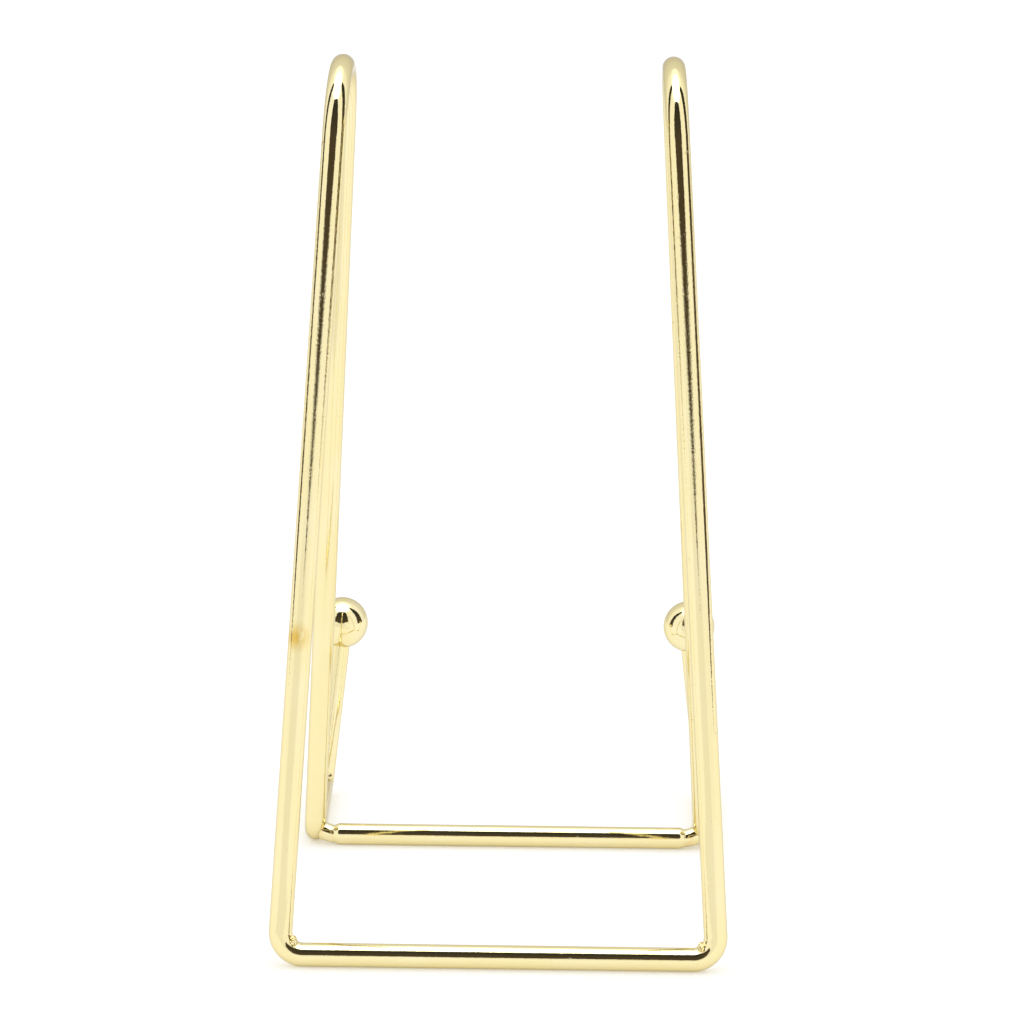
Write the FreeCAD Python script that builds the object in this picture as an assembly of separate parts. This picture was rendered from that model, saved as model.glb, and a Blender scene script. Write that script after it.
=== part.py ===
import FreeCAD, Part
import math
import os

# Display easel of bent round rod: two side rods that lean towards each other, joined by a rear
# and a front cross bar, with a ball on the tip of each hook.
# Millimetres, +Z up. The display side faces -Y. The origin is on the floor, at the middle of the
# outline. Left is -X and right is +X, as the easel is seen from its display side.

# Driving dimensions
ROD_D = 4.0             # round rod, used for the side rods and the cross bars
HEIGHT = 152.0          # floor to the top of the hairpins
FOOT_WIDTH = 74.0       # between the side rods' centre lines at the floor
SIDE_LEAN = 3.4         # degrees that each side rod's plane leans inwards
BASE_DEPTH = 80.0       # rear foot to the foot of the back rest
SHELF_DEPTH = 39.0      # foot of the back rest to the hook bend
SHELF_SPLAY = 1.3       # how far each hook bend stands outside the foot of its back rest
CROWN_FORWARD = 31.0    # rear foot to the middle of the hairpin
HAIRPIN_R = 13.0        # bends, all on the rod's centre line
REAR_BEND_R = 3.8
FRONT_BEND_R = 5.0
HOOK_BEND_R = 3.0
BALL_D = 10.2
BALL_FORWARD = 122.0    # rear foot to the ball's centre
BALL_HEIGHT = 34.5      # floor to the ball's centre
BALL_INSET = 0.4        # how far the ball stands inside the side rod's plane
SOCKET_DEPTH = 2.6      # how far the rod's tip goes into the ball
REAR_JOINT = 4.2        # rear corner to the face where the rear bar meets the rod
NECK_R = 1.65           # front bar, where its ends are drawn in for the weld
NECK_JOINT = 3.5        # front corner to the narrowest place of the neck
NECK_LENGTH = 1.2
FLARE_R = 1.9           # front weld, inside the side rod's bend
REAR_BEAD_R = 1.25

# Worked out from the dimensions above
ROD_R = ROD_D / 2
BALL_R = BALL_D / 2
REAR_Y = (BALL_FORWARD + BALL_R - ROD_R) / 2
FRONT_Y = REAR_Y - BASE_DEPTH
LEAN = math.radians(SIDE_LEAN)
CROWN_UP = (HEIGHT - ROD_D) / math.cos(LEAN)
SIDES = {"left": -1, "right": 1}
ACROSS = FreeCAD.Vector(1, 0, 0)


def on_side(side, forward, up):
    """Point on a side rod's plane, forward from the rear foot and up the leaning plane."""
    across = side * (FOOT_WIDTH / 2 - up * math.sin(LEAN))
    return FreeCAD.Vector(across, REAR_Y - forward, ROD_R + up * math.cos(LEAN))


def hairpin_touch(foot, turn):
    """Forward and up of the place where a straight leg from the floor runs into the hairpin.

    turn is 1 for the rear leg and -1 for the back rest.
    """
    ahead = CROWN_FORWARD - foot
    up = CROWN_UP - HAIRPIN_R
    to_centre = math.hypot(ahead, up)
    angle = math.atan2(up, ahead) + turn * math.asin(HAIRPIN_R / to_centre)
    length = math.sqrt(to_centre ** 2 - HAIRPIN_R ** 2)
    return foot + length * math.cos(angle), length * math.sin(angle)


def rounded_corner(before, corner, after, radius):
    """Start, middle and end of the arc that rounds the corner between two straight runs."""
    back = (before - corner).normalize()
    ahead = (after - corner).normalize()
    half_angle = back.getAngle(ahead) / 2
    reach = radius / math.tan(half_angle)
    inwards = (back + ahead).normalize()
    middle = corner + inwards * (radius / math.sin(half_angle) - radius)
    return corner + back * reach, middle, corner + ahead * reach


def arc(start, middle, end):
    return Part.Arc(start, middle, end).toShape()


def line(start, end):
    return Part.LineSegment(start, end).toShape()


def ball_centre(side):
    in_plane = on_side(side, BALL_FORWARD, (BALL_HEIGHT - ROD_R) / math.cos(LEAN))
    return in_plane - ACROSS * side * BALL_INSET


def hook_foot(side):
    return on_side(side, BASE_DEPTH + SHELF_DEPTH, 0) + ACROSS * side * SHELF_SPLAY


def front_bend(side):
    """Start, middle and end of the bend between the back rest and the shelf arm."""
    front_top = on_side(side, *hairpin_touch(BASE_DEPTH, -1))
    return rounded_corner(front_top, on_side(side, BASE_DEPTH, 0), hook_foot(side), FRONT_BEND_R)


def side_rod_path(side):
    """Centre line from the rear joint, over the hairpin and along the floor, to the hook's tip."""
    joint = FreeCAD.Vector(side * (FOOT_WIDTH / 2 - REAR_JOINT), REAR_Y, ROD_R)
    rear_top = on_side(side, *hairpin_touch(0, 1))
    crown = on_side(side, CROWN_FORWARD, CROWN_UP)
    front_top = on_side(side, *hairpin_touch(BASE_DEPTH, -1))
    rear_foot = on_side(side, 0, 0)
    front_foot = on_side(side, BASE_DEPTH, 0)
    hook = hook_foot(side)
    ball = ball_centre(side)
    tip = ball + (hook - ball).normalize() * (BALL_R - SOCKET_DEPTH)

    rear_bend = rounded_corner(joint, rear_foot, rear_top, REAR_BEND_R)
    shelf_bend = front_bend(side)
    hook_bend = rounded_corner(front_foot, hook, tip, HOOK_BEND_R)
    return Part.Wire([
        line(joint, rear_bend[0]),
        arc(*rear_bend),
        line(rear_bend[2], rear_top),
        arc(rear_top, crown, front_top),
        line(front_top, shelf_bend[0]),
        arc(*shelf_bend),
        line(shelf_bend[2], hook_bend[0]),
        arc(*hook_bend),
        line(hook_bend[2], tip),
    ])


def side_rod(side):
    path = side_rod_path(side)
    start = path.Edges[0].Vertexes[0].Point
    section = Part.Wire([Part.makeCircle(ROD_R, start, ACROSS)])
    return path.makePipeShell([section], True, True)


def rear_bar():
    length = FOOT_WIDTH - 2 * REAR_JOINT
    return Part.makeCylinder(ROD_R, length, FreeCAD.Vector(-length / 2, REAR_Y, ROD_R), ACROSS)


def front_bar():
    """Round bar whose ends are drawn in to a neck, turned about its own axis."""
    end = FOOT_WIDTH / 2 - NECK_JOINT
    full = end - NECK_LENGTH
    outline = [(-end, 0), (-end, NECK_R), (-full, ROD_R), (full, ROD_R), (end, NECK_R), (end, 0)]
    points = [FreeCAD.Vector(x, FRONT_Y, ROD_R + radius) for x, radius in outline]
    profile = Part.Face(Part.makePolygon(points + points[:1]))
    return profile.revolve(FreeCAD.Vector(0, FRONT_Y, ROD_R), ACROSS, 360)


def front_weld(side, rod):
    """Weld that flares from the front bar's neck into the bend of the side rod."""
    neck = FreeCAD.Vector(side * (FOOT_WIDTH / 2 - NECK_JOINT), FRONT_Y, ROD_R)
    foot = front_bend(side)[1]
    circles = [Part.makeCircle(NECK_R, neck, ACROSS), Part.makeCircle(FLARE_R, foot, ACROSS)]
    flare = Part.makeLoft([Part.Wire([circle]) for circle in circles], True)
    return only_solid(flare.cut(rod), neck)


def rear_weld(side, rod, bar):
    """Bead in the inner corner between the rear leg and the rear bar."""
    corner = FOOT_WIDTH / 2 - ROD_R
    centre = FreeCAD.Vector(side * (corner - REAR_BEAD_R / 2), REAR_Y, ROD_D + REAR_BEAD_R / 2)
    bead = Part.makeSphere(REAR_BEAD_R, centre)
    inner = centre + FreeCAD.Vector(-side * REAR_BEAD_R, 0, REAR_BEAD_R)
    return only_solid(bead.cut(rod).cut(bar), inner)


def hook_ball(side, rod):
    return Part.makeSphere(BALL_R, ball_centre(side)).cut(rod)


def only_solid(shape, near):
    """The solid nearest a point, when a cut leaves more than one."""
    return min(shape.Solids, key=lambda solid: solid.CenterOfMass.distanceToPoint(near))


def easel_parts():
    parts = {"rear_bar": rear_bar(), "front_bar": front_bar()}
    for name, side in SIDES.items():
        rod = side_rod(side)
        parts[f"{name}_side_rod"] = rod
        parts[f"{name}_hook_ball"] = hook_ball(side, rod)
        parts[f"{name}_rear_weld"] = rear_weld(side, rod, parts["rear_bar"])
        parts[f"{name}_front_weld"] = front_weld(side, rod)
    return parts


os.makedirs("parts", exist_ok=True)
for node, shape in easel_parts().items():
    assert shape.isValid() and len(shape.Solids) == 1, node
    shape.exportStep(f"parts/{node}.step")
    print(f"{node}: {shape.Volume:.1f} mm3")
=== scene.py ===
"""Polished bent-rod display easel: its rods, balls and welds, and the studio it stands in."""
import math

import bmesh
import bpy
from mathutils import Matrix, Vector, noise


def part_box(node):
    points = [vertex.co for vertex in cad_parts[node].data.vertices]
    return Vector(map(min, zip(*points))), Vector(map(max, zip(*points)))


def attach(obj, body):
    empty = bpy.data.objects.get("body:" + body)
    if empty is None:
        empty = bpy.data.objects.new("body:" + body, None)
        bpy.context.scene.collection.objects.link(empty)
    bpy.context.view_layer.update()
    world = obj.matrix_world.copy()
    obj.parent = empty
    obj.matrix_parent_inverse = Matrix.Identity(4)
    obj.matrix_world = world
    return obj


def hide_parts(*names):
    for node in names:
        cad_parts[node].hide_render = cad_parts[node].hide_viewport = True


bl_info = {
    "name": "Display Easel",
    "version": (1, 0, 0),
    "blender": (4, 5, 0),
    "location": "3D View > Sidebar > Easel",
    "description": "Builds a brass-plated display easel bent from round rod",
    "category": "Object",
}

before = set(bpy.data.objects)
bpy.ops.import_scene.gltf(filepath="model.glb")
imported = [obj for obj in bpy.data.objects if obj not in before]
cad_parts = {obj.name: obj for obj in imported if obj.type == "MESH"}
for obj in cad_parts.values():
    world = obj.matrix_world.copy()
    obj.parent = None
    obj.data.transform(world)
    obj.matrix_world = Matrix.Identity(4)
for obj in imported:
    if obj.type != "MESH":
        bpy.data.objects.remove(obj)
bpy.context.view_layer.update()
BAR_LOW, BAR_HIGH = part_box("rear_bar")

# Left is -X and right is +X, as the easel is seen from its display side, which faces -Y.
SIDES = {"left": -1, "right": 1}
MM = 0.001

# How finely the pieces are divided
ROD_SIDES = 64
FOOT_STEPS = 22             # round the bends at the feet of the rear leg and the back rest
HAIRPIN_STEPS = 72
HOOK_STEPS = 18
NECK_STEPS = 8              # over the length where the front bar narrows
BALL_SIDES, BALL_STEPS = 96, 60
WELD_SIDES, WELD_STEPS = 48, 30
BEAD_LEVEL = 5              # subdivisions of the bead's icosphere

# Seat of a hook's tip in its ball
SEAT_DEPTH = 0.30 * MM
SEAT_SHARE = 0.9            # radius of the seat's flat bottom, as a share of the rod's
GROOVE = 0.22 * MM          # width and depth of the groove round the stem
STEM_GAP = 0.04 * MM        # between the stem and the bottom of the groove
LIP_WIDTH = 0.06 * MM       # chamfer at the groove's mouth
LIP_DEPTH = 0.03 * MM

# Front welds
NECK_OVERLAP = 0.1 * MM     # how far a weld starts inside the neck
NECK_PROUD = 0.04 * MM      # how far it stands out of the neck there
WELD_SAG = 1.3              # how late the weld leaves the bar's line; 1 is straight
TIP_START = 0.7             # share of the weld's length where its tip starts to close
TIP_CLOSE = 0.5             # how much of its radius the tip loses
TIP_CURVE = 1.5
WELD_LUMPS = 700            # lumps to the metre
WELD_LUMP_HEIGHT = 0.16 * MM
FLOOR_GAP = 0.02 * MM       # kept under a weld

# Beads in the rear corners, in bead radii
BEAD_INWARDS, BEAD_BACK, BEAD_UP = 0.42, 0.25, 0.12
BEAD_WIDE, BEAD_DEEP, BEAD_TALL = 0.66, 1.15, 1.0
BEAD_FULLNESS = 0.88
BEAD_LUMPS = 1.9
BEAD_LUMP_HEIGHT = 0.30


def length(name, description, millimetres):
    """A distance property, with its default given in millimetres."""
    return bpy.props.FloatProperty(name=name, description=description, default=millimetres * MM,
                                   min=0.0, unit="LENGTH")


def share(name, description, default):
    return bpy.props.FloatProperty(name=name, description=description, default=default,
                                   min=0.0, max=1.0, subtype="FACTOR")


def brightness(name, description, default):
    return bpy.props.FloatProperty(name=name, description=description, default=default, min=0.0)


def tone(name, description, default):
    return bpy.props.FloatVectorProperty(name=name, description=description, default=default,
                                         size=3, min=0.0, max=1.0, subtype="COLOR")


# ---------------------------------------------------------------- sizes and finishes

class EaselSizes(bpy.types.PropertyGroup):
    """The easel's own measures, all on the rod's centre line unless they say otherwise."""
    rod: length("Rod", "Diameter of the round rod", (BAR_HIGH.z - BAR_LOW.z) / MM)
    height: length("Height", "Floor to the top of the hairpins", 152.0)
    foot_width: length("Foot width", "Between the side rods at the floor", 74.0)
    side_lean: bpy.props.FloatProperty(
        name="Side lean", description="How far each side rod's plane leans inwards",
        default=math.radians(3.4), subtype="ANGLE")
    base_depth: length("Base depth", "Rear foot to the foot of the back rest", 80.0)
    shelf_depth: length("Shelf depth", "Foot of the back rest to the hook bend", 39.0)
    shelf_splay: length("Shelf splay", "How far a hook bend stands outside its back rest", 1.3)
    crown_forward: length("Crown forward", "Rear foot to the middle of the hairpin", 31.0)
    hairpin: length("Hairpin", "Radius of the hairpin", 13.0)
    rear_bend: length("Rear bend", "Radius of the bend at the rear foot", 3.8)
    front_bend: length("Front bend", "Radius of the bend under the back rest", 5.0)
    hook_bend: length("Hook bend", "Radius of the bend at the foot of the hook", 3.0)
    ball: length("Ball", "Diameter of the ball", 10.2)
    ball_forward: length("Ball forward", "Rear foot to the ball's centre", 122.0)
    ball_height: length("Ball height", "Floor to the ball's centre", 34.5)
    ball_inset: length("Ball inset", "How far the ball stands inside the side rod's plane", 0.4)
    socket: length("Socket", "How far the rod's tip goes into the ball", 2.6)
    rear_joint: length("Rear joint", "Rear corner to the end of the rear bar", 4.2)
    neck: length("Neck", "Radius of the front bar where it is drawn in", 1.65)
    neck_joint: length("Neck joint", "Front corner to the narrowest place of the neck", 3.5)
    neck_run: length("Neck run", "Length over which the bar narrows to the neck", 1.2)
    flare: length("Flare", "Radius of the front weld inside the side rod's bend", 1.9)
    bead: length("Bead", "Radius of the weld bead in the rear corner", 1.25)


class EaselFinish(bpy.types.PropertyGroup):
    """The plated finish."""
    plate: tone("Plate", "Colour of the polished plate", (0.91, 0.80, 0.445))
    pale: tone("Pale plate", "Colour where the plate is thin", (0.93, 0.84, 0.55))
    edge: tone("Edge tint", "Tint of the plate seen edge-on", (0.70, 0.67, 0.60))
    tarnish: tone("Tarnish", "Colour of the small tarnish spots", (0.55, 0.30, 0.12))
    stain: tone("Stain", "Colour of the copper-tinted stain on one rear leg", (0.76, 0.51, 0.11))
    heat: tone("Heat tint", "Colour that the heat left on the welds", (0.80, 0.50, 0.20))
    gloss: share("Roughness", "Roughness of the polished plate", 0.04)
    marks: share("Draw marks", "Strength of the fine marks along the rod", 0.35)


class EaselStudio(bpy.types.PropertyGroup):
    """The studio's light."""
    room: brightness("Room", "Brightness of the white room", 1.06)
    far_end: brightness("Far end", "Brightness of the room's far end", 0.86)
    overhead: brightness("Overhead", "Brightness of the soft box", 3.2)
    halo: brightness("Halo", "Brightness of the wider cloth above the soft box", 1.45)
    shade: brightness("Shade", "Brightness of the floor behind the easel, in the plate", 0.96)
    flag: tone("Flag", "Colour of the dark flags", (0.030, 0.032, 0.027))
    flag_foot: tone("Flag foot", "Colour of the dark flags near the floor", (0.085, 0.062, 0.042))
    floor: tone("Floor", "Colour of the floor", (0.88, 0.88, 0.88))
    floor_glow: brightness("Floor glow", "How brightly the floor shines by itself", 0.22)


# ---------------------------------------------------------------- the easel's lines

def rear_y(sizes):
    return (sizes.ball_forward + sizes.ball / 2 - sizes.rod / 2) / 2


def on_side(sizes, side, forward, up):
    """Point on a side rod's plane, forward from the rear foot and up the leaning plane."""
    across = side * (sizes.foot_width / 2 - up * math.sin(sizes.side_lean))
    height = sizes.rod / 2 + up * math.cos(sizes.side_lean)
    return Vector((across, rear_y(sizes) - forward, height))


def leg_angle(sizes, foot, turn):
    """Direction, in the side rod's plane, of a leg from its foot to where it touches the hairpin.

    turn is 1 for the rear leg and -1 for the back rest.
    """
    ahead = sizes.crown_forward - foot
    up = (sizes.height - sizes.rod) / math.cos(sizes.side_lean) - sizes.hairpin
    return math.atan2(up, ahead) + turn * math.asin(sizes.hairpin / math.hypot(ahead, up))


def hairpin_corner(sizes):
    """Forward and up of the corner where the rear leg and the back rest would meet."""
    rear, front = leg_angle(sizes, 0.0, 1), leg_angle(sizes, sizes.base_depth, -1)
    reach = sizes.base_depth * math.sin(front) / math.sin(front - rear)
    return reach * math.cos(rear), reach * math.sin(rear)


def ball_centre(sizes, side):
    up = (sizes.ball_height - sizes.rod / 2) / math.cos(sizes.side_lean)
    in_plane = on_side(sizes, side, sizes.ball_forward, up)
    return in_plane - Vector((side * sizes.ball_inset, 0.0, 0.0))


def hook_foot(sizes, side):
    foot = on_side(sizes, side, sizes.base_depth + sizes.shelf_depth, 0.0)
    return foot + Vector((side * sizes.shelf_splay, 0.0, 0.0))


def sharp(point):
    """A corner of a rod's centre line that isn't rounded, such as its end."""
    return point, 0.0, 1


def side_rod_corners(sizes, side):
    """Corners of a side rod's centre line, each with the radius and steps of its bend."""
    foot = on_side(sizes, side, 0.0, 0.0)
    ball = ball_centre(sizes, side)
    hook = hook_foot(sizes, side)
    tip = ball + (hook - ball).normalized() * (sizes.ball / 2 - sizes.socket)
    return [
        sharp(foot - Vector((side * sizes.rear_joint, 0.0, 0.0))),
        (foot, sizes.rear_bend, FOOT_STEPS),
        (on_side(sizes, side, *hairpin_corner(sizes)), sizes.hairpin, HAIRPIN_STEPS),
        (on_side(sizes, side, sizes.base_depth, 0.0), sizes.front_bend, FOOT_STEPS),
        (hook, sizes.hook_bend, HOOK_STEPS),
        sharp(tip),
    ]


def front_bend_middle(sizes, side):
    """Middle of the bend between the back rest and the shelf arm."""
    foot = on_side(sizes, side, sizes.base_depth, 0.0)
    up = (on_side(sizes, side, *hairpin_corner(sizes)) - foot).normalized()
    ahead = (hook_foot(sizes, side) - foot).normalized()
    half = up.angle(ahead) / 2
    return foot + (up + ahead).normalized() * sizes.front_bend * (1 / math.sin(half) - 1)


def necked_run(sizes):
    """Places along the front bar, from end to end, each with its share of the full radius."""
    end = sizes.foot_width / 2 - sizes.neck_joint
    least = sizes.neck / (sizes.rod / 2)
    half = []
    for i in range(NECK_STEPS + 1):
        swell = 0.5 - 0.5 * math.cos(math.pi * i / NECK_STEPS)
        half.append((end - sizes.neck_run * i / NECK_STEPS, least + (1 - least) * swell))
    return [(-x, wide) for x, wide in half] + half[::-1]


# ---------------------------------------------------------------- node helpers

def put(tree, kind, **settings):
    """Adds a node and sets its properties."""
    node = tree.nodes.new(kind)
    for key, value in settings.items():
        setattr(node, key, value)
    return node


def wire(tree, source, target):
    tree.links.new(source, target)


def named_attribute(tree, name, data_type="FLOAT"):
    node = put(tree, "GeometryNodeInputNamedAttribute", data_type=data_type)
    node.inputs["Name"].default_value = name
    return node.outputs["Attribute"]


def capture(tree, curve, kind, label, value):
    """Keeps a value of each point of a curve, to be read on the swept mesh."""
    node = put(tree, "GeometryNodeCaptureAttribute", domain="POINT")
    node.capture_items.new(kind, label)
    wire(tree, curve, node.inputs["Geometry"])
    wire(tree, value, node.inputs[label])
    return node


def object_place(tree):
    return put(tree, "ShaderNodeTexCoord").outputs["Object"]


def set_inputs(node, values):
    for name, value in values.items():
        node.inputs[name].default_value = value


def remap(tree, value, source, target):
    """Carries a value smoothly from one range to another, and holds it beyond the ends."""
    node = put(tree, "ShaderNodeMapRange", interpolation_type="SMOOTHSTEP")
    set_inputs(node, {"From Min": source[0], "From Max": source[1],
                      "To Min": target[0], "To Max": target[1]})
    wire(tree, value, node.inputs["Value"])
    return node.outputs["Result"]


def combine(tree, operation, first, second):
    node = put(tree, "ShaderNodeMath", operation=operation)
    wire(tree, first, node.inputs[0])
    wire(tree, second, node.inputs[1])
    return node.outputs[0]


def blend(tree, factor, below, above):
    """Mixes two colours, each a plain colour or another node's output."""
    node = put(tree, "ShaderNodeMix", data_type="RGBA")
    wire(tree, factor, node.inputs["Factor"])
    for socket, colour in ((node.inputs[6], below), (node.inputs[7], above)):
        if isinstance(colour, bpy.types.NodeSocket):
            wire(tree, colour, socket)
        else:
            socket.default_value = (*colour, 1.0)
    return node.outputs[2]


# ---------------------------------------------------------------- swept rods

PLACE = "rod_place"         # across the rod in X and Y, and along it in Z, in metres
WALL_CORNERS = 4            # a face of the rod's wall has four corners, an end cap many more


def sweep_tree():
    """Geometry Nodes: rounds the corners of a line, sweeps a round rod along it and caps it."""
    tree = bpy.data.node_groups.new("bent_rod", "GeometryNodeTree")
    face = tree.interface
    face.new_socket("Geometry", in_out="INPUT", socket_type="NodeSocketGeometry")
    radius = face.new_socket("Rod Radius", in_out="INPUT", socket_type="NodeSocketFloat")
    radius.subtype, radius.min_value = "DISTANCE", 0.0
    sides = face.new_socket("Sides", in_out="INPUT", socket_type="NodeSocketInt")
    sides.min_value, sides.default_value = 3, ROD_SIDES
    face.new_socket("Material", in_out="INPUT", socket_type="NodeSocketMaterial")
    face.new_socket("Geometry", in_out="OUTPUT", socket_type="NodeSocketGeometry")

    start, end = put(tree, "NodeGroupInput"), put(tree, "NodeGroupOutput")
    line = put(tree, "GeometryNodeMeshToCurve")
    bend = put(tree, "GeometryNodeFilletCurve", mode="POLY")
    bend.inputs["Limit Radius"].default_value = True
    wire(tree, start.outputs["Geometry"], line.inputs["Mesh"])
    wire(tree, line.outputs["Curve"], bend.inputs["Curve"])
    wire(tree, named_attribute(tree, "bend_steps", "INT"), bend.inputs["Count"])
    wire(tree, named_attribute(tree, "bend_radius"), bend.inputs["Radius"])

    ring = put(tree, "GeometryNodeCurvePrimitiveCircle", mode="RADIUS")
    wire(tree, start.outputs["Sides"], ring.inputs["Resolution"])
    wire(tree, start.outputs["Rod Radius"], ring.inputs["Radius"])

    # keep each point's place on the rod, so that a finish can follow the bends
    run = put(tree, "GeometryNodeSplineParameter").outputs["Length"]
    spot = put(tree, "GeometryNodeInputPosition").outputs["Position"]
    along = capture(tree, bend.outputs["Curve"], "FLOAT", "along", run)
    around = capture(tree, ring.outputs["Curve"], "VECTOR", "around", spot)

    sweep = put(tree, "GeometryNodeCurveToMesh")
    sweep.inputs["Fill Caps"].default_value = True
    wire(tree, along.outputs["Geometry"], sweep.inputs["Curve"])
    wire(tree, around.outputs["Geometry"], sweep.inputs["Profile Curve"])
    wire(tree, named_attribute(tree, "thickness"), sweep.inputs["Scale"])

    lengthwise = put(tree, "ShaderNodeCombineXYZ")
    wire(tree, along.outputs["along"], lengthwise.inputs["Z"])
    place = put(tree, "ShaderNodeVectorMath", operation="ADD")
    wire(tree, around.outputs["around"], place.inputs[0])
    wire(tree, lengthwise.outputs[0], place.inputs[1])
    store = put(tree, "GeometryNodeStoreNamedAttribute", data_type="FLOAT_VECTOR", domain="POINT")
    store.inputs["Name"].default_value = PLACE
    wire(tree, sweep.outputs["Mesh"], store.inputs["Geometry"])
    wire(tree, place.outputs[0], store.inputs["Value"])

    # the flat end caps keep a crisp edge
    corners = put(tree, "GeometryNodeInputMeshFaceNeighbors")
    is_wall = put(tree, "FunctionNodeCompare", data_type="INT", operation="LESS_EQUAL")
    wire(tree, corners.outputs["Vertex Count"], is_wall.inputs[2])
    is_wall.inputs[3].default_value = WALL_CORNERS
    smooth = put(tree, "GeometryNodeSetShadeSmooth")
    wire(tree, store.outputs["Geometry"], smooth.inputs["Geometry"])
    wire(tree, is_wall.outputs["Result"], smooth.inputs["Shade Smooth"])

    real = put(tree, "GeometryNodeRealizeInstances")
    coat = put(tree, "GeometryNodeSetMaterial")
    wire(tree, smooth.outputs["Geometry"], real.inputs["Geometry"])
    wire(tree, real.outputs["Geometry"], coat.inputs["Geometry"])
    wire(tree, start.outputs["Material"], coat.inputs["Material"])
    wire(tree, coat.outputs["Geometry"], end.inputs["Geometry"])
    return tree


def socket_id(tree, name):
    """Identifier of a tree's named input, by which its modifier is set."""
    return next(item.identifier for item in tree.interface.items_tree
                if item.item_type == "SOCKET" and item.in_out == "INPUT" and item.name == name)


def swept_rod(name, corners, thickness, radius, material):
    """A rod swept along corners, each (point, bend radius, bend steps), as a plain mesh object.

    thickness is the rod's share of its full radius at each corner.
    """
    mesh = bpy.data.meshes.new(name + "_line")
    points, bend_radii, bend_steps = zip(*corners)
    mesh.from_pydata(points, [(i, i + 1) for i in range(len(corners) - 1)], [])
    for label, kind, values in (("bend_radius", "FLOAT", bend_radii),
                                ("bend_steps", "INT", bend_steps),
                                ("thickness", "FLOAT", thickness)):
        mesh.attributes.new(label, kind, "POINT").data.foreach_set("value", values)
    rod = add_object(name, mesh)
    tree = bpy.data.node_groups.get("bent_rod") or sweep_tree()
    sweep = rod.modifiers.new("sweep", "NODES")
    sweep.node_group = tree
    sweep[socket_id(tree, "Rod Radius")] = radius
    sweep[socket_id(tree, "Sides")] = ROD_SIDES
    sweep[socket_id(tree, "Material")] = material
    evaluated = rod.evaluated_get(bpy.context.evaluated_depsgraph_get())
    made = bpy.data.meshes.new_from_object(evaluated)
    rod.modifiers.remove(sweep)
    rod.data = made
    made.name = name
    face_outwards(made)
    return rod


# ---------------------------------------------------------------- mesh helpers

def add_object(name, data):
    """A new object at the origin of the scene."""
    thing = bpy.data.objects.new(name, data)
    bpy.context.scene.collection.objects.link(thing)
    return thing


def face_outwards(mesh):
    """Turns a closed mesh right side out."""
    work = bmesh.new()
    work.from_mesh(mesh)
    if work.calc_volume(signed=True) < 0:
        bmesh.ops.reverse_faces(work, faces=work.faces)
        work.to_mesh(mesh)
    work.free()


def add_piece(name, mesh, material):
    piece = add_object(name, mesh)
    mesh.materials.append(material)
    mesh.shade_smooth()
    face_outwards(mesh)
    return piece


def settle(piece, node):
    """Hides the CAD node that the piece stands in for and attaches the piece to the root body,
    which it moves with.
    """
    if not piece.data.polygons:
        raise RuntimeError(piece.name + " came out empty")
    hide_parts(node)
    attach(piece, "root")


def rings_mesh(name, rings):
    """A closed mesh from rings of equal count between a first and a last single point."""
    work = bmesh.new()
    first, last = work.verts.new(rings[0]), work.verts.new(rings[-1])
    loops = [[work.verts.new(point) for point in ring] for ring in rings[1:-1]]
    count = len(loops[0])
    for i in range(count):
        j = (i + 1) % count
        work.faces.new((first, loops[0][j], loops[0][i]))
        for a, b in zip(loops, loops[1:]):
            work.faces.new((a[i], a[j], b[j], b[i]))
        work.faces.new((last, loops[-1][i], loops[-1][j]))
    mesh = bpy.data.meshes.new(name)
    work.to_mesh(mesh)
    work.free()
    return mesh


def middle(ring):
    return sum(ring, Vector()) / len(ring)


# ---------------------------------------------------------------- finishes

# Noise patterns: cells to the metre, detail, scale along each axis, where a low one draws the
# cells out, and roughness
DRAW_MARKS = (2600.0, 3.0, (1.0, 1.0, 0.12), 0.5)
TURNED_MARKS = (2600.0, 3.0, (1.0, 1.0, 1.0), 0.5)
LEG_GRAIN = (5200.0, 2.0, (1.0, 1.0, 0.5), 0.5)
THIN_PATCHES = (140.0, 2.0, (1.0, 1.0, 0.35), 0.5)
SPECKS = (520.0, 2.0, (1.0, 1.0, 0.7), 0.6)
WAVES = (330.0, 2.0, (0.6, 0.6, 1.0), 0.5)
SMEAR = (900.0, 3.0, (1.0, 1.0, 0.4), 0.5)
HEAT_CLOUDS = (420.0, 3.0, (1.0, 1.0, 1.0), 0.5)

# Where a pattern's noise starts to show and where it shows in full
PATCH_RANGE = (0.42, 0.70)
SPECK_RANGE = (0.735, 0.79)
SPECK_EDGE_RANGE = (0.66, 0.76)     # a speck is dull a little way round
POLISH_RANGE = (0.35, 0.75)
SMEAR_RANGE = (0.32, 0.50)
HEAT_RANGE = (0.45, 0.75)

# How much each of them covers or dulls
PATCH_COVER = 0.6
SPECK_COVER = 0.55
SPECK_DULLNESS = 0.25
SMEAR_LEAST = 0.15
DULLEST = 2.2                       # times the plate's own roughness

STAIN_PLACE = (0.0345, 0.0573, 0.0557)
STAIN_RADIUS = 3.2 * MM

# The plate is coarser half way up the rear legs, measured along the rod from its rear joint
COARSE_FROM = (0.068, 0.090)
COARSE_TO = (0.112, 0.140)
FINE_MARKS, COARSE_MARKS = 0.5, 2.0     # times the strength of the marks

MARK_HEIGHT = 0.025 * MM
WAVE_HEIGHT = 0.015 * MM
LUMP_HEIGHT = 0.12 * MM


def pattern(tree, place, cells, detail, scale, roughness):
    """Noise that reads a place on the piece."""
    mapping = put(tree, "ShaderNodeMapping")
    mapping.inputs["Scale"].default_value = scale
    wire(tree, place, mapping.inputs["Vector"])
    texture = put(tree, "ShaderNodeTexNoise")
    set_inputs(texture, {"Scale": cells, "Detail": detail, "Roughness": roughness})
    wire(tree, mapping.outputs["Vector"], texture.inputs["Vector"])
    return texture.outputs["Fac"]


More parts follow.
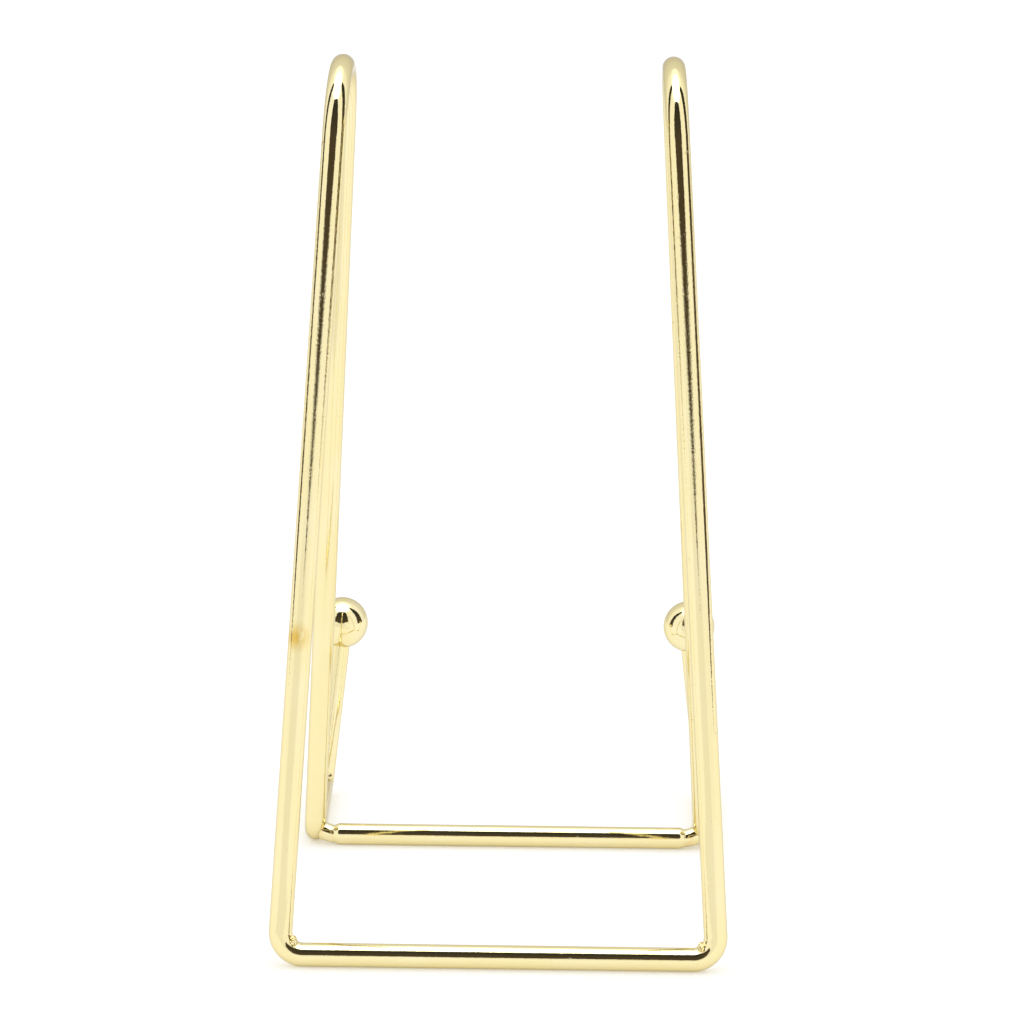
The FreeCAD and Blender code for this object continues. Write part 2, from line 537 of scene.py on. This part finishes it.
def stain_cover(tree, place):
    """How much of the plate the smeared stain covers, around its place on one rear leg."""
    away = put(tree, "ShaderNodeVectorMath", operation="DISTANCE")
    away.inputs[1].default_value = STAIN_PLACE
    wire(tree, object_place(tree), away.inputs[0])
    near = remap(tree, away.outputs["Value"], (0.0, STAIN_RADIUS), (1.0, 0.0))
    smear = remap(tree, pattern(tree, place, *SMEAR), SMEAR_RANGE, (SMEAR_LEAST, 1.0))
    return combine(tree, "MULTIPLY", near, smear)


def plate_colour(tree, place, finish, specks, stained, warm):
    """Plate that is thin in patches, with tarnish specks and, where asked, stain or heat tint."""
    thin = remap(tree, pattern(tree, place, *THIN_PATCHES), PATCH_RANGE, (0.0, PATCH_COVER))
    colour = blend(tree, thin, finish.plate, finish.pale)
    spots = remap(tree, specks, SPECK_RANGE, (0.0, SPECK_COVER + warm))
    colour = blend(tree, spots, colour, finish.tarnish)
    if stained:
        colour = blend(tree, stain_cover(tree, place), colour, finish.stain)
    if warm:
        heat = remap(tree, pattern(tree, place, *HEAT_CLOUDS), HEAT_RANGE, (0.0, warm))
        colour = blend(tree, heat, colour, finish.heat)
    return colour


def plate_roughness(tree, finish, marks, specks):
    """Polish that varies along the marks, and is duller on the specks."""
    polish = remap(tree, marks, POLISH_RANGE, (finish.gloss, finish.gloss * DULLEST))
    dull = remap(tree, specks, SPECK_EDGE_RANGE, (0.0, SPECK_DULLNESS))
    return combine(tree, "ADD", polish, dull)


def leg_coarseness(tree, place, finish):
    """Strength of the marks along a side rod, which is greatest half way up the rear leg."""
    up = put(tree, "ShaderNodeSeparateXYZ")
    wire(tree, place, up.inputs[0])
    band = combine(tree, "MULTIPLY", remap(tree, up.outputs["Z"], COARSE_FROM, (0.0, 1.0)),
                   remap(tree, up.outputs["Z"], COARSE_TO, (1.0, 0.0)))
    return remap(tree, band, (0.0, 1.0), (finish.marks * FINE_MARKS, finish.marks * COARSE_MARKS))


def plate_relief(tree, place, finish, grain, follows_rod, lumps):
    """Fine marks over broad waves."""
    fine = put(tree, "ShaderNodeBump")
    set_inputs(fine, {"Strength": finish.marks, "Distance": MARK_HEIGHT})
    if follows_rod:
        wire(tree, leg_coarseness(tree, place, finish), fine.inputs["Strength"])
    wire(tree, grain, fine.inputs["Height"])
    broad = put(tree, "ShaderNodeBump")
    set_inputs(broad, {"Strength": 1.0, "Distance": WAVE_HEIGHT + lumps * LUMP_HEIGHT})
    wire(tree, pattern(tree, place, *WAVES), broad.inputs["Height"])
    wire(tree, broad.outputs["Normal"], fine.inputs["Normal"])
    return fine.outputs["Normal"]


def plated(name, finish, follows_rod, warm=0.0, lumps=0.0):
    """Polished brass plate with fine marks, faint waves, thin patches and tarnish specks.

    follows_rod draws the marks along a swept rod. warm is how much heat tint a weld has, and
    lumps how much of the full lump height.
    """
    material = bpy.data.materials.get(name)
    if material:
        return material
    material = bpy.data.materials.new(name)
    material.use_nodes = True
    tree = material.node_tree
    shader = tree.nodes["Principled BSDF"]
    set_inputs(shader, {"Metallic": 1.0, "Specular Tint": (*finish.edge, 1.0)})

    if follows_rod:
        place = put(tree, "ShaderNodeAttribute", attribute_name=PLACE).outputs["Vector"]
        marks = pattern(tree, place, *DRAW_MARKS)
        grain = pattern(tree, place, *LEG_GRAIN)
    else:
        place = object_place(tree)
        marks = grain = pattern(tree, place, *TURNED_MARKS)
    specks = pattern(tree, place, *SPECKS)

    colour = plate_colour(tree, place, finish, specks, follows_rod, warm)
    wire(tree, colour, shader.inputs["Base Color"])
    wire(tree, plate_roughness(tree, finish, marks, specks), shader.inputs["Roughness"])
    relief = plate_relief(tree, place, finish, grain, follows_rod, lumps)
    wire(tree, relief, shader.inputs["Normal"])
    return material


# ---------------------------------------------------------------- pieces

class EASEL_OT_side_rods(bpy.types.Operator):
    """Bend the two side rods from the rear corner, over the hairpin, to the hook's tip"""
    bl_idname = "easel.side_rods"
    bl_label = "Side rods"

    def execute(self, context):
        sizes = context.scene.easel_sizes
        finish = plated("drawn_plate", context.scene.easel_finish, True)
        for name, side in SIDES.items():
            corners = side_rod_corners(sizes, side)
            even = [1.0] * len(corners)
            rod = swept_rod(name + "_bent_rod", corners, even, sizes.rod / 2, finish)
            settle(rod, name + "_side_rod")
        return {"FINISHED"}


class EASEL_OT_cross_bars(bpy.types.Operator):
    """Lay the plain rear bar, and the front bar with its necked ends"""
    bl_idname = "easel.cross_bars"
    bl_label = "Cross bars"

    def execute(self, context):
        sizes = context.scene.easel_sizes
        finish = plated("drawn_plate", context.scene.easel_finish, True)
        reach = sizes.foot_width / 2 - sizes.rear_joint
        back = rear_y(sizes)
        self.bar("rear", sizes, back, [(-reach, 1.0), (reach, 1.0)], finish)
        self.bar("front", sizes, back - sizes.base_depth, necked_run(sizes), finish)
        return {"FINISHED"}

    def bar(self, name, sizes, y, run, finish):
        """A bar on the floor through places across, each with its share of the full radius."""
        radius = sizes.rod / 2
        corners = [sharp(Vector((x, y, radius))) for x, _ in run]
        rod = swept_rod(name + "_cross_bar", corners, [wide for _, wide in run], radius, finish)
        settle(rod, name + "_bar")


class EASEL_OT_hook_balls(bpy.types.Operator):
    """Turn a ball with a drilled seat for each hook's tip"""
    bl_idname = "easel.hook_balls"
    bl_label = "Hook balls"

    def execute(self, context):
        sizes = context.scene.easel_sizes
        finish = plated("turned_plate", context.scene.easel_finish, False)
        for name, side in SIDES.items():
            centre = ball_centre(sizes, side)
            axis = (centre - hook_foot(sizes, side)).normalized()
            mesh = turned_ball(name, centre, axis, sizes.ball / 2, sizes.rod / 2)
            ball = add_piece(name + "_turned_ball", mesh, finish)
            settle(ball, name + "_hook_ball")
        return {"FINISHED"}


def turned_ball(name, centre, axis, radius, rod_radius):
    """A ball about its stem's axis, with a small chamfer and groove round the stem."""
    turn = axis.to_track_quat("Z", "Y")
    mouth = rod_radius + GROOVE
    seat = math.asin(mouth / radius)
    angles = [seat + (math.pi - seat) * i / BALL_STEPS for i in range(BALL_STEPS)]
    profile = [(radius * math.sin(a), -radius * math.cos(a)) for a in angles]
    rim = profile[0][1]
    profile = [(rod_radius * SEAT_SHARE, rim + SEAT_DEPTH), (rod_radius + STEM_GAP, rim + GROOVE),
               (mouth - LIP_WIDTH, rim + LIP_DEPTH)] + profile
    turns = [2 * math.pi * i / BALL_SIDES for i in range(BALL_SIDES)]
    spin = [(math.cos(t), math.sin(t)) for t in turns]
    rings = [[centre + turn @ Vector((c * r, s * r, z)) for c, s in spin] for r, z in profile]
    first = centre + turn @ Vector((0, 0, rim + SEAT_DEPTH))
    last = centre + turn @ Vector((0, 0, radius))
    return rings_mesh(name, [first, *rings, last])


class EASEL_OT_welds(bpy.types.Operator):
    """Run the flared front welds and the small beads in the rear corners"""
    bl_idname = "easel.welds"
    bl_label = "Welds"

    def execute(self, context):
        sizes = context.scene.easel_sizes
        finish = plated("weld_plate", context.scene.easel_finish, False, warm=0.35, lumps=1.0)
        for name, side in SIDES.items():
            flare = add_piece(name + "_flared_weld", flared_weld(sizes, side), finish)
            settle(flare, name + "_front_weld")
            bead = add_piece(name + "_corner_bead", corner_bead(sizes, side), finish)
            settle(bead, name + "_rear_weld")
        return {"FINISHED"}


def flared_weld(sizes, side):
    """Weld metal drawn from the front bar's neck into the side rod's bend."""
    start = side * (sizes.foot_width / 2 - sizes.neck_joint - NECK_OVERLAP)
    neck = Vector((start, rear_y(sizes) - sizes.base_depth, sizes.rod / 2))
    run = front_bend_middle(sizes, side) - neck
    rings = []
    for i in range(WELD_STEPS + 1):
        t = i / WELD_STEPS
        swell = sizes.neck + NECK_PROUD + (sizes.flare - sizes.neck) * math.sin(t * math.pi / 2)
        closing = max(t - TIP_START, 0.0) / (1.0 - TIP_START)
        swell *= 1.0 - TIP_CLOSE * closing ** TIP_CURVE
        late = t ** WELD_SAG
        centre = neck + Vector((run.x * t, run.y * late, run.z * late))
        rings.append(lumpy_ring(centre, swell, WELD_LUMP_HEIGHT * t))
    return rings_mesh("flare", [middle(rings[0]), *rings, middle(rings[-1])])


def lumpy_ring(centre, radius, lump_height):
    """An uneven ring of weld metal about an axis along X, kept clear of the floor."""
    ring = []
    for k in range(WELD_SIDES):
        angle = 2 * math.pi * k / WELD_SIDES
        outwards = Vector((0.0, math.cos(angle), math.sin(angle)))
        lump = noise.noise((centre + outwards * radius) * WELD_LUMPS) * lump_height
        point = centre + outwards * (radius + lump)
        point.z = max(FLOOR_GAP, point.z)
        ring.append(point)
    return ring


def corner_bead(sizes, side):
    """A lopsided bead of weld metal where the rear leg stands on the rear bar."""
    inner = sizes.foot_width / 2 - sizes.rod / 2
    centre = Vector((side * (inner - sizes.bead * BEAD_INWARDS),
                     rear_y(sizes) + sizes.bead * BEAD_BACK, sizes.rod + sizes.bead * BEAD_UP))
    unlike = Vector((side * 3.1, 0.4, 0.0))     # so that the two beads' lumps differ
    work = bmesh.new()
    bmesh.ops.create_icosphere(work, subdivisions=BEAD_LEVEL, radius=1.0)
    for vert in work.verts:
        lump = 1 + BEAD_LUMP_HEIGHT * noise.noise(vert.co * BEAD_LUMPS + unlike)
        x, y, z = vert.co
        shape = Vector((x * BEAD_WIDE, y * BEAD_DEEP, z * BEAD_TALL))
        vert.co = centre + shape * (sizes.bead * BEAD_FULLNESS * lump)
    mesh = bpy.data.meshes.new("bead")
    work.to_mesh(mesh)
    work.free()
    return mesh


# ---------------------------------------------------------------- studio

# Outlines of the cards, as (azimuth, elevation) in degrees about CARD_CENTRE, and how far away
# each hangs, in metres. Azimuth 0 is straight behind the easel, where the camera is, and grows
# towards -X, so the right-hand flag is on the right of the view from behind.
CARD_CENTRE = Vector((0.0, 0.05, 0.075))
CAMERA_FLAG = [(-2, 4.0), (16, 8.5), (34, 13), (36, 34), (31, 50), (-34, 50), (-38, 34),
               (-36, 13), (-18, 8.5)]
CAMERA_FLAG_AWAY = 1.2
TOP_FLAG = [(34, 44), (27, 60), (-29, 60), (-36, 44)]
TOP_FLAG_AWAY = 2.4
RIGHT_FLAG = [(79, -2.6), (110, -2.6), (99, 66), (84, 66)]
LEFT_FLAG = [(-86, -2.6), (-106, -2.6), (-99, 66), (-84, 66)]
SIDE_FLAG_AWAY = 1.6
HORIZON_SHADE = [(-42, -2.7), (20, -2.7), (20, 5), (-42, 5)]
HORIZON_AWAY = 1.5
FLOOR_SHADE = [(0.13, 0.13, 0.0005), (0.95, 1.45, 0.0005), (-0.45, 1.45, 0.0005),
               (-0.05, 0.13, 0.0005)]   # points in metres, just above the floor
FLAG_FADE = (0.1, 1.0)                  # heights over which a flag's foot runs to its colour

SOFT_BOX_RADIUS, SOFT_BOX_PLACE = 1.12, (0.0, 0.376, 2.5)
SOFT_HALO_RADIUS, SOFT_HALO_PLACE = 1.55, (0.0, 0.10, 2.6)
SOFT_BOX_SIDES = 32
FLOOR_RADIUS, FLOOR_SIDES = 14.0, 64
FLOOR_DROP = 0.05 * MM                  # kept between the floor and the easel
FAR_END_FADE = (-0.62, -0.36)           # Y of the direction in which the room grows dim

SENSOR_WIDTH, LENS = 36.0, 130.08
CLIP_START, CLIP_END = 0.01, 60.0
YAW, PITCH, ROLL = 1.296, -9.781, -0.412
CAMERA_ACROSS, CAMERA_BEHIND, CAMERA_UP = -0.015537, 0.60328, 0.182378
WHITE = (1.0, 1.0, 1.0)


def glow(name, colour, strength, foot=None):
    """A surface that only shines, and runs to another colour near the floor where foot is given."""
    material = bpy.data.materials.new(name)
    material.use_nodes = True
    tree = material.node_tree
    tree.nodes.clear()
    out = put(tree, "ShaderNodeOutputMaterial")
    shine = put(tree, "ShaderNodeEmission")
    set_inputs(shine, {"Color": (*colour, 1.0), "Strength": strength})
    if foot:
        place = put(tree, "ShaderNodeSeparateXYZ")
        wire(tree, object_place(tree), place.inputs[0])
        rise = put(tree, "ShaderNodeMapRange")
        set_inputs(rise, {"From Min": FLAG_FADE[0], "From Max": FLAG_FADE[1]})
        wire(tree, place.outputs["Z"], rise.inputs["Value"])
        wire(tree, blend(tree, rise.outputs["Result"], foot, colour), shine.inputs["Color"])
    wire(tree, shine.outputs[0], out.inputs["Surface"])
    return material


def card(name, outline, away, material):
    """A card that hangs at a distance from CARD_CENTRE, with an outline in degrees."""
    points = []
    for azimuth, elevation in outline:
        a, e = math.radians(azimuth), math.radians(elevation)
        points.append(CARD_CENTRE + away * Vector((-math.sin(a) * math.cos(e),
                                                   math.cos(a) * math.cos(e), math.sin(e))))
    flat_card(name, points, material)


def flat_card(name, points, material):
    """A card through the given points."""
    mesh = bpy.data.meshes.new(name)
    mesh.from_pydata(points, [], [tuple(range(len(points)))])
    mesh.materials.append(material)
    hide_card(add_object(name, mesh))


def disc(name, radius, sides, material):
    """A level round sheet."""
    mesh = bpy.data.meshes.new(name)
    work = bmesh.new()
    bmesh.ops.create_circle(work, cap_ends=True, segments=sides, radius=radius)
    work.to_mesh(mesh)
    work.free()
    mesh.materials.append(material)
    return add_object(name, mesh)


def hide_card(sheet):
    """Leaves a card to reflections alone: it neither shows nor lights or shades the floor."""
    sheet.visible_camera = sheet.visible_diffuse = sheet.visible_shadow = False


class EASEL_OT_stage(bpy.types.Operator):
    """Set the pale floor, the white room, the soft box, the dark flags and the camera"""
    bl_idname = "easel.stage"
    bl_label = "Stage"

    def execute(self, context):
        scene, studio = context.scene, context.scene.easel_studio
        scene.view_settings.view_transform = "Standard"
        scene.view_settings.look = "None"
        self.room(scene, studio)
        self.floor(studio)
        self.soft_boxes(studio)
        self.cards(studio)
        self.camera(scene)
        return {"FINISHED"}

    def room(self, scene, studio):
        """White all round, but dimmer at the end beyond the easel."""
        world = bpy.data.worlds.new("white_room")
        world.use_nodes = True
        tree = world.node_tree
        sky = tree.nodes["Background"]
        sky.inputs["Color"].default_value = (*WHITE, 1.0)
        facing = put(tree, "ShaderNodeSeparateXYZ")
        wire(tree, put(tree, "ShaderNodeTexCoord").outputs["Generated"], facing.inputs[0])
        fade = remap(tree, facing.outputs["Y"], FAR_END_FADE, (studio.far_end, studio.room))
        wire(tree, fade, sky.inputs["Strength"])
        scene.world = world

    def floor(self, studio):
        paint = bpy.data.materials.new("pale_floor")
        paint.use_nodes = True
        set_inputs(paint.node_tree.nodes["Principled BSDF"], {
            "Base Color": (*studio.floor, 1.0), "Roughness": 0.9, "Specular IOR Level": 0.0,
            "Emission Color": (*WHITE, 1.0), "Emission Strength": studio.floor_glow})
        ground = disc("pale_floor", FLOOR_RADIUS, FLOOR_SIDES, paint)
        ground.location.z = -FLOOR_DROP

    def soft_boxes(self, studio):
        """A round soft box hung level above the easel, and a wider, dimmer cloth over it."""
        for name, strength, radius, place in (
                ("soft_box", studio.overhead, SOFT_BOX_RADIUS, SOFT_BOX_PLACE),
                ("soft_halo", studio.halo, SOFT_HALO_RADIUS, SOFT_HALO_PLACE)):
            box = disc(name, radius, SOFT_BOX_SIDES, glow(name, WHITE, strength))
            box.location = place
            hide_card(box)

    def cards(self, studio):
        """Dark flags, and shade cards: the floor behind the easel is a shade less bright."""
        dark = glow("dark_flag", studio.flag, 1.0, foot=studio.flag_foot)
        shade = glow("floor_shade", WHITE, studio.shade)
        card("camera_flag", CAMERA_FLAG, CAMERA_FLAG_AWAY, dark)
        card("camera_flag_top", TOP_FLAG, TOP_FLAG_AWAY, dark)
        flat_card("floor_shade", FLOOR_SHADE, shade)
        card("horizon_shade", HORIZON_SHADE, HORIZON_AWAY, shade)
        card("right_flag", RIGHT_FLAG, SIDE_FLAG_AWAY, dark)
        card("left_flag", LEFT_FLAG, SIDE_FLAG_AWAY, dark)

    def camera(self, scene):
        lens = bpy.data.cameras.new("studio_camera")
        lens.sensor_width = SENSOR_WIDTH
        lens.lens = LENS
        lens.clip_start, lens.clip_end = CLIP_START, CLIP_END
        viewer = add_object("studio_camera", lens)
        # from level, facing the rear bar squarely, turned about its own axes one after another
        axes = [Vector((-1, 0, 0)), Vector((0, 0, 1)), Vector((0, -1, 0))]
        for axis, degrees in ((1, YAW), (0, PITCH), (2, ROLL)):
            turn = Matrix.Rotation(math.radians(degrees), 3, axes[axis])
            axes = [turn @ each for each in axes]
        right, up, look = axes
        viewer.matrix_world = Matrix((right, up, -look)).transposed().to_4x4()
        behind = rear_y(scene.easel_sizes) + CAMERA_BEHIND
        viewer.location = (CAMERA_ACROSS, behind, CAMERA_UP)
        scene.camera = viewer


class EASEL_PT_panel(bpy.types.Panel):
    """Sizes, finish and studio of the easel, and a button for each group of pieces"""
    bl_idname = "EASEL_PT_panel"
    bl_label = "Display Easel"
    bl_space_type = "VIEW_3D"
    bl_region_type = "UI"
    bl_category = "Easel"

    def draw(self, context):
        for title, group in (("Sizes", context.scene.easel_sizes),
                             ("Finish", context.scene.easel_finish),
                             ("Studio", context.scene.easel_studio)):
            box = self.layout.box()
            box.label(text=title)
            for name in group.__annotations__:
                box.prop(group, name)
        for operator in OPERATORS:
            self.layout.operator(operator.bl_idname)


GROUPS = {"easel_sizes": EaselSizes, "easel_finish": EaselFinish, "easel_studio": EaselStudio}
OPERATORS = (EASEL_OT_side_rods, EASEL_OT_cross_bars, EASEL_OT_hook_balls, EASEL_OT_welds,
             EASEL_OT_stage)
CLASSES = (*GROUPS.values(), *OPERATORS, EASEL_PT_panel)


def register():
    for cls in CLASSES:
        bpy.utils.register_class(cls)
    for name, group in GROUPS.items():
        setattr(bpy.types.Scene, name, bpy.props.PointerProperty(type=group))


def unregister():
    for name in GROUPS:
        delattr(bpy.types.Scene, name)
    for cls in reversed(CLASSES):
        bpy.utils.unregister_class(cls)


def main():
    register()
    bpy.ops.easel.side_rods()
    bpy.ops.easel.cross_bars()
    bpy.ops.easel.hook_balls()
    bpy.ops.easel.welds()
    bpy.ops.easel.stage()


if __name__ == "__main__":
    main()
